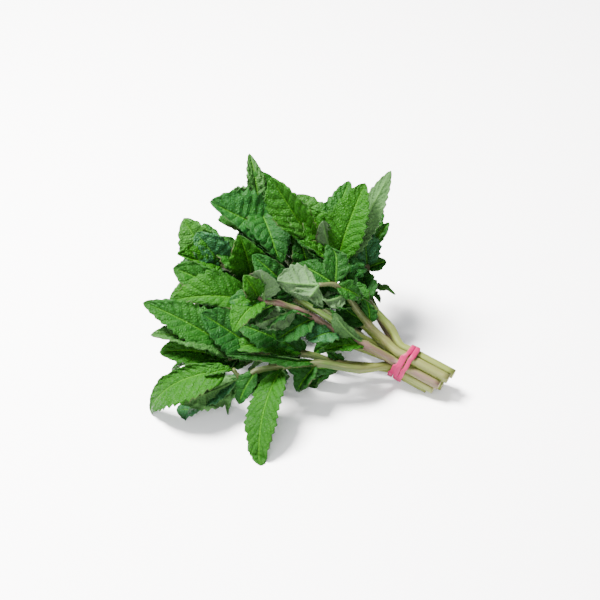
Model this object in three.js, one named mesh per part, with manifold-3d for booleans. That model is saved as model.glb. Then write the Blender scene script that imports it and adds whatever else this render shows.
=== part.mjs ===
// A bunch of fresh mint lying on a table: ten leafy stems held near their cut ends by a wound rubber band.
// Millimetres, +Z up. The tied end points along +X and the leaves fan out towards -X.
import * as THREE from "three";
import { mergeVertices } from "three/addons/utils/BufferGeometryUtils.js";
import Module from "manifold-3d";

const wasm = await Module();
wasm.setup();

const { degToRad } = THREE.MathUtils;
const vector = (x, y, z) => new THREE.Vector3(x, y, z);
const UPWARD = vector(0, 0, 1);
const QUARTER_TURN = Math.PI / 2;
const MERGE_WITHIN = 1e-4;

// Places are read in one side view of the bunch, which looks down at the table, as [right of the tie,
// up the view, away from the viewer]. A leaf's upper side faces [right, up the view, towards the viewer].
const VIEW_TILT = degToRad(38);
const UP_THE_VIEW = vector(0, Math.sin(VIEW_TILT), Math.cos(VIEW_TILT));
const AWAY = vector(0, Math.cos(VIEW_TILT), -Math.sin(VIEW_TILT));

// The tie: the middle of the rubber band, and the way that the stems run through it.
const TIE_HEIGHT = 14;
const TIE = vector(0, 0, TIE_HEIGHT);
const TIE_HEADING = degToRad(26);
const TIE_PITCH = degToRad(15);
const TIE_AXIS = vector(
  -Math.cos(TIE_PITCH) * Math.cos(TIE_HEADING),
  Math.cos(TIE_PITCH) * Math.sin(TIE_HEADING),
  Math.sin(TIE_PITCH),
);
const TIE_SIDE = vector(Math.sin(TIE_HEADING), Math.cos(TIE_HEADING), 0);
const TIE_TOP = TIE_SIDE.clone().cross(TIE_AXIS);

// The middle of the bunch's footprint, which becomes the origin.
const FOOTPRINT_CENTRE = vector(-58.36, 13.12, 0);

// Stems: squared in section, packed in rows like pencils where they are tied, thinner towards the tip.
const STEM_PITCH = 5.5;
const ROW_PITCH = STEM_PITCH * Math.sin(degToRad(60));
const STEM_BASE_RADIUS = 2.6;
const STEM_TIP_RADIUS = 1.0;
const STEM_SIDES = 8;
const STEM_STEPS_PER_STRETCH = 2;
// Over 1 this keeps the stem thick for longer before it tapers.
const STEM_TAPER = 1.3;
const STRAIGHT_PAST_TIE = [0, 5.5];
// How far the eight sides are drawn towards the four corners of a square.
const CORNER_DRAW = 0.3;

// Leaf blades.
const BLADE_THICKNESS = 0.7;
const PETIOLE_HALF_WIDTH = 0.9;
const PETIOLE_SHARE = 0.06;
const TIP_HALF_WIDTH = 0.3;
// The oval outline: under 1 the first moves its widest place towards the base and the second fills it out.
const OUTLINE_LEAN = 0.75;
const OUTLINE_FILL = 0.65;
const TOOTH_DEPTH = 0.16;
const TOOTH_LEAN = 0.35;
const TOOTH_SPACING = 9.5;
const FEWEST_TEETH = 3;
const MOST_TEETH = 6;
const RIPPLE = 0.9;
const RIPPLE_WAVES = 2.5;
const RIPPLE_STEP_PER_LEAF = 1.7;
// A blade this near the table lies down on it, and an underside this near it is flat on it.
const LIES_DOWN_WITHIN = 2.3;
const TOUCHES_TABLE = 0.2;

// Blades of one stem keep to its own wedge of the fan, so that they lie beside the next stem's and don't cross.
const APEX_BEHIND_TIE = 10;
const FAN_APEX = TIE.clone().addScaledVector(TIE_AXIS, -APEX_BEHIND_TIE);
const WALL_GAP = 0.6;
const STEM_WALL_GAP = STEM_BASE_RADIUS + 0.2;
const WALL_SOFTNESS = 2.5;
// The share of a blade's length over which the softness grows from nothing at its base.
const SOFTENS_OVER = 0.25;
const CLEARING_SWEEPS = 14;

// The rubber band: three turns of flat strand, each leaning its own way along the stems.
const STRAND_WIDTH = 3.0;
const STRAND_THICKNESS = 1.0;
const STRAND_GAP = 0.3;
const STRAND_SAMPLES = 20;
// A strand's section, as the side along the stems and the layer, inner or outer.
const STRAND_CORNERS = [
  [-1, 0],
  [1, 0],
  [1, 1],
  [-1, 1],
];
const STRAND_TURNS = [
  { middle: -1.6, lean: 2.9, leanTowards: 70 },
  { middle: 0.4, lean: 0.9, leanTowards: 40 },
  { middle: 2.4, lean: 1.7, leanTowards: 100 },
];

// A leaf: where its tip is, how wide it is, which way its upper side faces, how far its middle bulges
// that way as a share of its length, and the angle in degrees that its two halves are raised by.
const leaf = (tip, wide, face, arch = 0.1, fold = 16) => ({ tip, wide, face, arch, fold });
// A joint of the stem, with the leaves that grow from it.
const joint = (place, ...leaves) => ({ place, leaves });

const SPRIGS = [
  {
    name: "sprig_front_low",
    slot: [-1, -0.5],
    trim: 22,
    heading: [-106, -16, -36],
    joints: [
      joint([-26, 3, -13]),
      joint(
        [-49, 4, -19],
        leaf([-97, 8, -36], 15, [0, 0.5, 0.8], 0.06),
        leaf([-74, 6, -6], 14, [0, 0.5, 0.8]),
      ),
      joint(
        [-68, 1, -21],
        leaf([-80, -60, -42], 22, [-0.3, 0.8, 0.5], 0.15, 3),
        leaf([-36, 1, -10], 12, [0, -0.5, 0.9]),
        leaf([-69, -11, -14], 8, [0.5, 0.5, 0.3]),
      ),
      joint([-82, -4, -24]),
      joint(
        [-90, -8, -24],
        leaf([-124, -20, -34], 20, [-0.1, -0.5, -0.9]),
        leaf([-128, -30, -8], 30, [0, 0.8, 0.6], 0.06, 4),
        leaf([-99, -27, -18], 7, [-0.6, 0.3, 0.7]),
      ),
      joint(
        [-95, -3, -27],
        leaf([-142, -25, -12], 35, [-0.35, 0.5, 0.8], 0.2, 8),
        leaf([-110, -7, -32], 9, [0, 0.8, 0.5]),
      ),
    ],
  },
  {
    name: "sprig_low_left",
    slot: [-0.5, -1.5],
    trim: 18,
    heading: [-114, 14, -14],
    joints: [
      joint([-35, 0, 2]),
      joint(
        [-56, 5, 1],
        leaf([-97, 9, -16], 19, [0, 0.6, 0.8], 0.12),
        leaf([-88, -4, 12], 20, [0, 1, 0.2]),
        leaf([-94, 22, -12], 27, [0, 0.4, 0.9]),
      ),
      joint(
        [-80, 4, -3],
        leaf([-112, -4, 6], 22, [0, 0.6, 0.8]),
        leaf([-114, 27, -16], 30, [0, 0.4, 0.9]),
      ),
      joint(
        [-92, 3, -6],
        leaf([-145, 33, -16], 26, [-0.1, 0.5, 0.85], 0.11),
        leaf([-139.5, 17, -20], 24, [-0.1, 0.7, 0.7]),
      ),
      joint(
        [-98, 2, -8],
        leaf([-135.5, 7, -14], 27, [-0.2, 0.5, 0.8]),
        leaf([-130, -4, -4], 20, [-0.3, 0.7, 0.3]),
      ),
    ],
  },
  {
    name: "sprig_left",
    slot: [0, -0.5],
    trim: 25,
    heading: [-110, 37, 10],
    joints: [
      joint([-35, 14, 4]),
      joint(
        [-58, 23, 7],
        leaf([-86, 14, 20], 22, [-0.2, 0.8, 0.1]),
        leaf([-94, 30, 2], 32, [0, 0.5, 0.8]),
      ),
      joint(
        [-80, 33, 9],
        leaf([-130, 34, -2], 34, [-0.05, 0.35, 0.95], 0.2),
        leaf([-120, 24, 14], 26, [-0.1, 0.7, 0.6]),
      ),
      joint(
        [-96, 38, 9],
        leaf([-130, 52, 4], 27, [-0.2, 0.4, 0.9]),
        leaf([-120, 58, 22], 20, [-0.3, 0.6, 0.2]),
      ),
      joint(
        [-104, 40, 9],
        leaf([-132, 34, 4], 24, [-0.4, 0.6, 0.6]),
        leaf([-128, 44, 14], 14, [-0.4, 0.6, 0.3]),
      ),
    ],
  },
  {
    name: "sprig_upper_left",
    slot: [1, -0.5],
    trim: 24,
    heading: [-110, 60, 20],
    joints: [
      joint([-30, 16.5, 9.5]),
      joint([-60, 35, 16], leaf([-84, 60, 0], 26, [0, 0.3, 1]), leaf([-74, 44, 44], 20, [0, 0.3, -1])),
      joint(
        [-86, 48, 20],
        leaf([-92, 72, 4], 27, [0.1, 0.3, 1]),
        leaf([-106, 70, 26], 24, [-0.1, 0.6, 0.6]),
      ),
      joint(
        [-102, 54, 22],
        leaf([-130, 57, 10], 26, [-0.2, 0.3, 0.95]),
        leaf([-117, 73, 14], 24, [-0.2, 0.2, 1]),
      ),
      joint(
        [-108, 57, 23],
        leaf([-124.5, 81, 18], 24, [-0.4, 0.2, 0.9]),
        leaf([-113, 79, 24], 18, [-0.1, 0.2, 1]),
      ),
      joint([-112, 59, 24], leaf([-128, 64, 38], 14, [-0.5, 0.4, -0.5])),
    ],
  },
  {
    name: "sprig_top",
    slot: [0, 0.5],
    trim: 23,
    heading: [-84, 86, 28],
    joints: [
      joint([-26, 20, 12]),
      joint(
        [-52, 44, 20],
        leaf([-58, 72, 8], 20, [0, 0.2, 1]),
        leaf([-50, 68, 30], 30, [0, 0.3, 0.95]),
      ),
      joint(
        [-69, 62, 25],
        leaf([-98, 66, 16], 30, [-0.1, 0.4, 0.9]),
        leaf([-58, 90, 34], 30, [0.3, 0.3, 0.9]),
      ),
      joint(
        [-76, 73, 27],
        leaf([-111, 89, 16], 35, [-0.1, 0.35, 0.9]),
        leaf([-110, 73, 24], 30, [-0.1, 0.5, 0.8]),
      ),
      joint(
        [-82, 88, 28],
        leaf([-86, 120, 28], 12, [0.2, 0.3, 0.9], 0.05),
        leaf([-70, 54, 12], 27, [0.2, 0.2, 1], 0.12),
      ),
      joint(
        [-83, 92, 29],
        leaf([-69, 104, 33], 30, [0.2, 0.3, 0.9]),
        leaf([-98, 96, 38], 15, [-0.3, 0.6, -0.4]),
      ),
    ],
  },
  {
    name: "sprig_upper_right",
    slot: [0.5, 1.5],
    trim: 28,
    heading: [-48, 80, 4],
    joints: [
      joint([-9, 17, 3]),
      joint([-21, 32, 4]),
      joint(
        [-31, 44, 5],
        leaf([-22, 28, -2], 14, [0.2, 0.3, 0.9]),
        leaf([-52, 56, -4], 16, [-0.1, 0.4, 0.9]),
        leaf([-32, 60, 0], 20, [0.2, 0.3, 0.95]),
      ),
      joint(
        [-38, 54, 6],
        leaf([-21, 100, 0], 26, [-0.3, 0.1, 0.95]),
        leaf([-4.5, 108, 4], 18, [0.35, -0.1, -1], 0.05),
        leaf([-61, 65.5, -6], 12, [0, 0.6, 0.7]),
        leaf([-46, 79, -8], 13, [-0.2, 0, -1]),
      ),
      joint(
        [-42, 64, 7],
        leaf([-30, 102.5, 10], 18, [-0.3, 0.1, 0.95]),
        leaf([-54, 86, 2], 22, [0, 0.2, 0.9]),
      ),
      joint(
        [-50, 67, 8],
        leaf([-73.5, 104, 0], 30, [-0.55, -0.1, 0.85], 0.06, 26),
        leaf([-60, 94, 14], 27, [0.2, 0.3, 0.95]),
      ),
    ],
  },
  {
    name: "sprig_right_back",
    slot: [1, 0.5],
    trim: 26,
    heading: [-25, 62, 24],
    joints: [
      joint(
        [-20, 40, 17],
        leaf([-28, 52, 12], 15, [-0.2, 0.3, 0.9]),
        leaf([-4, 38.5, 16], 6, [0.3, 0.6, 0.6], 0.2),
        leaf([-13, 33, 14], 6, [0.6, 0.2, 0.6]),
      ),
      joint(
        [-20, 53, 20],
        leaf([-24, 78, 14], 18, [0.2, 0.2, 1]),
        leaf([-9, 56.5, 20], 10, [0.3, 0.4, 0.85]),
      ),
      joint(
        [-22, 63, 23],
        leaf([-7.3, 79, 24], 8.5, [0.4, 0.3, 0.85]),
        leaf([-34, 78, 44], 18, [0, 0.6, -0.6]),
      ),
      joint(
        [-23, 70, 25],
        leaf([-12, 90, 28], 16, [0, 0.3, 0.9]),
        leaf([-30, 88, 42], 16, [0, 0.4, -0.8]),
      ),
    ],
  },
  {
    name: "sprig_front_middle",
    slot: [-1, 0.5],
    trim: 24,
    heading: [-78, 28, -40],
    joints: [
      joint(
        [-22, 11, -5],
        leaf([-40, 29, -30], 15, [0.1, -0.2, -1]),
        leaf([-46, 6, -18], 13, [0, 0.7, 0.7]),
      ),
      joint([-38, 17, -12], leaf([-54, 12, -24], 19, [-0.2, 0.5, 0.85])),
      joint([-50, 25, -18], leaf([-72, 10, -22], 20, [-0.1, 0.6, 0.8])),
      joint([-60, 29.5, -23], leaf([-82, 22, -32], 15, [0, -0.3, -1])),
      joint([-70, 33, -26]),
      joint(
        [-78, 34, -29],
        leaf([-94, 17, -42], 19, [-0.25, 0.6, 0.75], 0.18),
        leaf([-78, 53, -40], 20, [0.1, -0.1, -1]),
      ),
      joint([-81, 36, -30], leaf([-88, 48, -40], 14, [0, 0.3, 0.95])),
    ],
  },
  {
    name: "sprig_drooping",
    slot: [-0.5, 1.5],
    trim: 27,
    heading: [-48, 46, -18],
    joints: [
      joint([-11, 11, -3]),
      joint([-20, 21, -6]),
      joint([-28, 31, -11]),
      joint([-33, 38, -15], leaf([-46, 33, -26], 13, [0, -0.4, -1])),
      joint(
        [-39, 43, -19],
        leaf([-60, 55, -14], 14, [0.1, 0.3, 0.9]),
        leaf([-24, 36, -12], 12, [0, 0.3, 1]),
      ),
      joint(
        [-48, 43, -24],
        leaf([-71, 44, -30], 25, [0, -0.1, -1], 0.1),
        leaf([-58, 27, -36], 20, [-0.2, -0.1, -1], 0.14),
      ),
    ],
  },
  {
    name: "sprig_back_low",
    slot: [0.5, -1.5],
    trim: 17,
    heading: [-78, 52, 56],
    joints: [
      joint([-25, 15, 18]),
      joint(
        [-46, 30, 27],
        leaf([-44, 29, 68], 21, [0.1, 0.8, -0.6], 0.1, 3),
        leaf([-80, 26, 30], 26, [-0.1, 0.7, 0.6]),
      ),
      joint(
        [-62, 40, 38],
        leaf([-66, 35, 76], 22, [0, 0.8, -0.6], 0.1, 3),
        leaf([-98, 21, 54], 24, [-0.2, 0.8, -0.5], 0.1, 3),
        leaf([-56, 66, 50], 34, [0, 0.4, 0.9]),
      ),
      joint(
        [-74, 48, 46],
        leaf([-96, 62, 44], 34, [0, 0.4, 0.9]),
        leaf([-122, 42, 36], 30, [-0.2, 0.6, 0.7]),
      ),
      joint(
        [-80, 52, 50],
        leaf([-102, 64, 50], 17, [-0.3, 0.5, -0.6]),
        leaf([-76, 76, 56], 28, [0, 0.4, 0.8]),
      ),
    ],
  },
];

// A place in the side view as a point of the bunch.
function placed([right, up, away]) {
  return TIE.clone().add(vector(right, 0, 0)).addScaledVector(UP_THE_VIEW, up).addScaledVector(AWAY, away);
}

// A facing in the side view as a direction of the bunch.
function facing([right, up, towards]) {
  return vector(right, 0, 0).addScaledVector(UP_THE_VIEW, up).addScaledVector(AWAY, -towards);
}

// Where a stem lies in the tied bundle, at a distance past the tie.
function inBundle([column, row], past) {
  return TIE.clone()
    .addScaledVector(TIE_SIDE, column * STEM_PITCH)
    .addScaledVector(TIE_TOP, row * ROW_PITCH)
    .addScaledVector(TIE_AXIS, past);
}

// The line of a stem from its cut end, straight through the tie, and on through its joints.
function stemLine(sprig) {
  const bundled = [-sprig.trim, ...STRAIGHT_PAST_TIE].map((past) => inBundle(sprig.slot, past));
  const jointed = sprig.joints.map(({ place }) => jointPoint(place, wallsOf(sprig)));
  return new THREE.CatmullRomCurve3([...bundled, ...jointed], false, "centripetal");
}

// A joint's point, far enough inside its sprig's wedge for the stem's own thickness.
function jointPoint(place, walls) {
  const stemRules = { softness: 0, gap: STEM_WALL_GAP, floor: STEM_BASE_RADIUS, liesDownWithin: 0 };
  return keptClear(placed(place), walls, stemRules);
}

// The way that a sprig heads from the fan's apex.
function headingOf(sprig) {
  return placed(sprig.heading).sub(FAN_APEX).normalize();
}

// The flat walls of a sprig's wedge, as unit normals that point into it.
function wallsOf(sprig) {
  const own = headingOf(sprig);
  const others = SPRIGS.filter((other) => other !== sprig);
  return others.map((other) => own.clone().sub(headingOf(other)).normalize());
}

// How far a point is inside a wall, past the gap to be kept from it.
function roomTo(wall, point, gap) {
  return point.clone().sub(FAN_APEX).dot(wall) - gap;
}

// A point brought inside its sprig's wedge and above the floor's level: first gently by the softness,
// then laid down where it is nearly on the table, then to the full gap.
function keptClear(point, walls, { softness, gap, floor, liesDownWithin }) {
  const clear = point.clone();
  if (softness > 0)
    for (const wall of walls) {
      const room = roomTo(wall, clear, gap);
      clear.addScaledVector(wall, softness * Math.log1p(Math.exp(room / softness)) - room);
    }
  const height = clear.z - floor;
  clear.z = floor + Math.max(0, Math.min(height, 2 * (height - liesDownWithin)));
  for (let sweep = 0; sweep < CLEARING_SWEEPS; sweep++) {
    for (const wall of walls) clear.addScaledVector(wall, Math.max(0, -roomTo(wall, clear, gap)));
    clear.z = Math.max(clear.z, floor);
  }
  return clear;
}

// A solid from the positions and triangles of a closed geometry.
function solidFrom(geometry) {
  geometry.deleteAttribute("normal");
  geometry.deleteAttribute("uv");
  const merged = mergeVertices(geometry, MERGE_WITHIN);
  return new wasm.Manifold(
    new wasm.Mesh({
      numProp: 3,
      vertProperties: new Float32Array(merged.attributes.position.array),
      triVerts: new Uint32Array(merged.index.array),
    }),
  );
}

// A named mesh from a solid, with its own material.
function meshFrom(name, solid, { color, roughness }) {
  const { vertProperties, triVerts } = solid.getMesh();
  const geometry = new THREE.BufferGeometry()
    .setAttribute("position", new THREE.BufferAttribute(vertProperties, 3))
    .setIndex(new THREE.BufferAttribute(triVerts, 1));
  geometry.computeVertexNormals();
  const mesh = new THREE.Mesh(geometry, new THREE.MeshStandardMaterial({ color, roughness, metalness: 0 }));
  mesh.name = name;
  return mesh;
}

// A stem's solid: a tapered cylinder bent along its line, its eight sides drawn to a square's corners.
function stemSolid(line) {
  const stretches = line.points.length - 1;
  const rod = new THREE.CylinderGeometry(1, 1, 1, STEM_SIDES, stretches * STEM_STEPS_PER_STRETCH);
  const position = rod.attributes.position;
  for (let i = 0; i < position.count; i++) {
    const along = position.getY(i) + 0.5;
    const centre = line.getPoint(along);
    const tangent = line.getTangent(along);
    const side = tangent.clone().cross(UPWARD).normalize();
    const top = side.clone().cross(tangent);
    const radius = THREE.MathUtils.lerp(STEM_BASE_RADIUS, STEM_TIP_RADIUS, along ** STEM_TAPER);
    const [x, z] = squared(position.getX(i), position.getZ(i));
    centre.addScaledVector(side, x * radius).addScaledVector(top, z * radius);
    position.setXYZ(i, centre.x, centre.y, Math.max(centre.z, 0));
  }
  return solidFrom(rod);
}

// A point of the unit circle moved towards the nearest corner of a square, as mint stems are square.
function squared(x, z) {
  const reach = Math.hypot(x, z);
  if (reach === 0) return [x, z];
  const angle = Math.atan2(z, x);
  const corner = (Math.floor(angle / QUARTER_TURN) + 1 / 2) * QUARTER_TURN;
  const drawn = THREE.MathUtils.lerp(angle, corner, CORNER_DRAW);
  return [reach * Math.cos(drawn), reach * Math.sin(drawn)];
}

// The share of a blade's half width at a share of its length: an oval with a pointed tip.
function outlineAt(along) {
  const blade = Math.max(0, (along - PETIOLE_SHARE) / (1 - PETIOLE_SHARE));
  return Math.sin(Math.PI * blade ** OUTLINE_LEAN) ** OUTLINE_FILL;
}

// A hump along a leaf: 1 in the middle of its length and 0 at both ends.
function humpAt(along) {
  return 4 * along * (1 - along);
}

// The middle surface of a leaf, as a function of the share along it and the share across it from -1 to 1.
function bladeSurface(leaf, base, walls, phase) {
  const chord = placed(leaf.tip).sub(base);
  const length = chord.length();
  const forward = chord.clone().normalize();
  const upper = facing(leaf.face);
  upper.addScaledVector(forward, -upper.dot(forward)).normalize();
  const side = forward.clone().cross(upper);
  const lift = Math.tan(degToRad(leaf.fold));
  return (along, half, across) => {
    const ripple = RIPPLE * Math.sin(2 * Math.PI * RIPPLE_WAVES * along + phase * across) * across * across;
    const folded = half * Math.abs(across) * lift;
    const raised = leaf.arch * length * humpAt(along) + folded + ripple * outlineAt(along);
    const point = base
      .clone()
      .addScaledVector(chord, along)
      .addScaledVector(side, half * across)
      .addScaledVector(upper, raised);
    return keptClear(point, walls, {
      softness: WALL_SOFTNESS * Math.min(1, along / SOFTENS_OVER),
      gap: WALL_GAP,
      floor: BLADE_THICKNESS / 2,
      liesDownWithin: LIES_DOWN_WITHIN,
    });
  };
}

// A leaf's solid: a midrib and two toothed margins, joined by triangles that are alike on both faces,
// and given thickness.
function leafSolid(leaf, base, walls, phase) {
  const surface = bladeSurface(leaf, base, walls, phase);
  const length = placed(leaf.tip).distanceTo(base);
  const teeth = THREE.MathUtils.clamp(Math.round(length / TOOTH_SPACING), FEWEST_TEETH, MOST_TEETH);
  const points = [];
  const add = (point) => points.push(point) - 1;

  const midrib = [];
  for (let i = 0; i <= teeth; i++) midrib.push(add(surface(i / teeth, 0, 0)));

  const margins = [-1, 1].map((hand) => {
    const margin = [];
    for (let i = 0; i <= 2 * teeth; i++) {
      const isTooth = i % 2 === 1;
      const along = (i + (isTooth ? TOOTH_LEAN : 0)) / (2 * teeth);
      const reach = (leaf.wide / 2) * outlineAt(along) * (isTooth ? 1 : 1 - TOOTH_DEPTH);
      const half = Math.max(reach, i === 2 * teeth ? TIP_HALF_WIDTH : PETIOLE_HALF_WIDTH);
      margin.push(add(surface(along, half, hand)));
    }
    return margin;
  });

  const faces = [];
  margins.forEach((margin, hand) => {
    const face = (a, b, c) => faces.push(hand ? [a, b, c] : [a, c, b]);
    for (let i = 0; i < teeth; i++) {
      face(midrib[i], margin[2 * i], margin[2 * i + 1]);
      face(midrib[i], margin[2 * i + 1], midrib[i + 1]);
      face(midrib[i + 1], margin[2 * i + 1], margin[2 * i + 2]);
    }
  });
  const rim = [...margins[1], midrib[teeth], ...margins[0].toReversed(), midrib[0]];
  return slab(points, faces, rim);
}

// A closed slab from a sheet of points, its triangles and the loop of its rim.
function slab(points, faces, rim) {
  const normals = points.map(() => vector(0, 0, 0));
  for (const [a, b, c] of faces) {
    const turn = points[b].clone().sub(points[a]).cross(points[c].clone().sub(points[a]));
    [a, b, c].forEach((i) => normals[i].add(turn));
  }
  const offset = (hand) =>
    points.flatMap((point, i) => {
      const moved = point.clone().addScaledVector(normals[i].normalize(), (hand * BLADE_THICKNESS) / 2);
      return [moved.x, moved.y, moved.z < TOUCHES_TABLE ? 0 : moved.z];
    });
  const under = points.length;
  const triangles = faces.flatMap(([a, b, c]) => [a, b, c, under + a, under + c, under + b]);
  rim.forEach((a, i) => {
    const b = rim[(i + 1) % rim.length];
    triangles.push(a, under + a, b, b, under + a, under + b);
  });
  const geometry = new THREE.BufferGeometry()
    .setAttribute("position", new THREE.Float32BufferAttribute([...offset(1), ...offset(-1)], 3))
    .setIndex(triangles);
  return solidFrom(geometry);
}

// A whole sprig: its stem with every leaf sunk into it.
function sprigSolid(sprig) {
  const line = stemLine(sprig);
  const walls = wallsOf(sprig);
  let phase = 0;
  let solid = stemSolid(line);
  for (const { place, leaves } of sprig.joints)
    for (const leaf of leaves) {
      phase += RIPPLE_STEP_PER_LEAF;
      solid = solid.add(leafSolid(leaf, jointPoint(place, walls), walls, phase));
    }
  return outerShell(solid);
}

// The solid without the hollows that can be shut in between leaves that touch.
function outerShell(solid) {
  return solid.decompose().reduce((largest, shell) => (shell.volume() > largest.volume() ? shell : largest));
}

// One turn of the band: a flat strand laid round the bundle's outline, leaning along the stems.
function turnSolid({ middle, lean, leanTowards }) {
  const outer = [];
  for (let i = 0; i < STRAND_SAMPLES; i++) {
    const angle = (2 * Math.PI * i) / STRAND_SAMPLES;
    const outward = TIE_SIDE.clone().multiplyScalar(Math.cos(angle)).addScaledVector(TIE_TOP, Math.sin(angle));
    const stems = SPRIGS.map(({ slot }) => inBundle(slot, 0));
    const furthest = stems.reduce((far, stem) => (stem.dot(outward) > far.dot(outward) ? stem : far));
    const shift = -(middle + lean * Math.cos(angle - degToRad(leanTowards)));
    outer.push({ outward, foot: furthest.addScaledVector(TIE_AXIS, shift) });
  }
  const corners = outer.flatMap(({ outward, foot }) =>
    STRAND_CORNERS.flatMap(([hand, layer]) =>
      foot
        .clone()
        .addScaledVector(TIE_AXIS, (hand * STRAND_WIDTH) / 2)
        .addScaledVector(outward, STEM_BASE_RADIUS + STRAND_GAP + layer * STRAND_THICKNESS)
        .toArray(),
    ),
  );
  const cornerCount = STRAND_CORNERS.length;
  const triangles = [];
  for (let i = 0; i < STRAND_SAMPLES; i++)
    for (let k = 0; k < cornerCount; k++) {
      const [a, b] = [cornerCount * i + k, cornerCount * i + ((k + 1) % cornerCount)];
      const [c, d] = [a, b].map((corner) => (corner + cornerCount) % (cornerCount * STRAND_SAMPLES));
      triangles.push(a, c, b, b, c, d);
    }
  const geometry = new THREE.BufferGeometry()
    .setAttribute("position", new THREE.Float32BufferAttribute(corners, 3))
    .setIndex(triangles);
  return solidFrom(geometry);
}

const MINT_GREEN = { color: 0x3f8a2a, roughness: 0.55 };
const BAND_PINK = { color: 0xe8588f, roughness: 0.45 };

const bunch = new THREE.Group();
bunch.position.copy(FOOTPRINT_CENTRE).negate();
for (const sprig of SPRIGS) bunch.add(meshFrom(sprig.name, sprigSolid(sprig), MINT_GREEN));
const band = STRAND_TURNS.map(turnSolid).reduce((wound, turn) => wound.add(turn));
bunch.add(meshFrom("rubber_band", band, BAND_PINK));

export default bunch;
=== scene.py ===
"""A tied bunch of fresh mint lying on a table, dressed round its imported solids.

Ten stems run through a wound rubber band and fan out into toothed, veined leaves.
Lengths are in millimetres until a mesh is made, which is in metres.
"""
import logging
import math
from collections.abc import Sequence
from dataclasses import dataclass, field
from enum import Enum

import bmesh
import bpy
import numpy as np
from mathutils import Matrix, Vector


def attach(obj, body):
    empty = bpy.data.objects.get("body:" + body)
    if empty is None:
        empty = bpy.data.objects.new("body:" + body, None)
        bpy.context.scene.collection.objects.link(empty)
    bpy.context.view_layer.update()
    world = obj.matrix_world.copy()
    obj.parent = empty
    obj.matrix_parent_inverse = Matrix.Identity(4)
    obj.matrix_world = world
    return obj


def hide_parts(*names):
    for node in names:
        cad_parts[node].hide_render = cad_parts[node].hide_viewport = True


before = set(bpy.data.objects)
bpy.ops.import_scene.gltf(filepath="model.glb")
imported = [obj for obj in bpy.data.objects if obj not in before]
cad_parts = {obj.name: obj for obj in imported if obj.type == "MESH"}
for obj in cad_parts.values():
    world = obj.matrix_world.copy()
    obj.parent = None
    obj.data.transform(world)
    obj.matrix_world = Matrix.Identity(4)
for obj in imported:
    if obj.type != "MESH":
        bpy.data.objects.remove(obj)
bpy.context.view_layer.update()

LOG = logging.getLogger("mint")
MM = 0.001
BODY = "root"
Numbers = np.ndarray
Place = tuple[float, float, float]
Colour = tuple[float, float, float]


class Tone(Enum):
    """How a leaf's upper side is coloured, as shares of (fresh, teal, limp)."""

    BRIGHT = (1.3, 0.0, 0.12)
    FRESH = (0.8, 0.0, 0.0)
    GREEN = (0.5, 0.1, 0.0)
    DEEP = (0.12, 0.15, 0.0)
    # This tone is painted shade: darker than DEEP, for leaves deep in the bunch where shade falls.
    PAINTED_SHADE = (-0.2, 0.0, 0.0)
    # SHEEN and TEAL have large teal shares: the leaf material paints a bluish sheen with them.
    SHEEN = (0.65, 0.4, 0.0)
    TEAL = (0.3, 0.85, 0.1)
    PALE = (0.85, 0.0, 0.3)
    LIMP = (0.3, 0.2, 1.0)


@dataclass(frozen=True)
class Leaf:
    """One leaf.

    Attributes:
        tip: the tip's place in the side view: right of the tie, up the view, away from the viewer.
        wide: its greatest width.
        face: the way its upper side faces: right, up the view, towards the viewer.
        tone: how it is coloured.
        arch: how far its middle bulges that way, as a share of its length.
        fold: the angle in degrees that its two halves are raised by.
    """

    tip: Place
    wide: float
    face: Place
    tone: Tone
    arch: float = 0.1
    fold: float = 16.0


@dataclass(frozen=True)
class Joint:
    """A joint of a stem, with the leaves that grow from it."""

    place: Place
    leaves: tuple[Leaf, ...] = ()


@dataclass(frozen=True)
class Sprig:
    """One leafy stem: its CAD node, its slot in the bundle, its trim, its heading and its joints."""

    name: str
    slot: tuple[float, float]
    trim: float
    heading: Place
    joints: tuple[Joint, ...]


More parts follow.
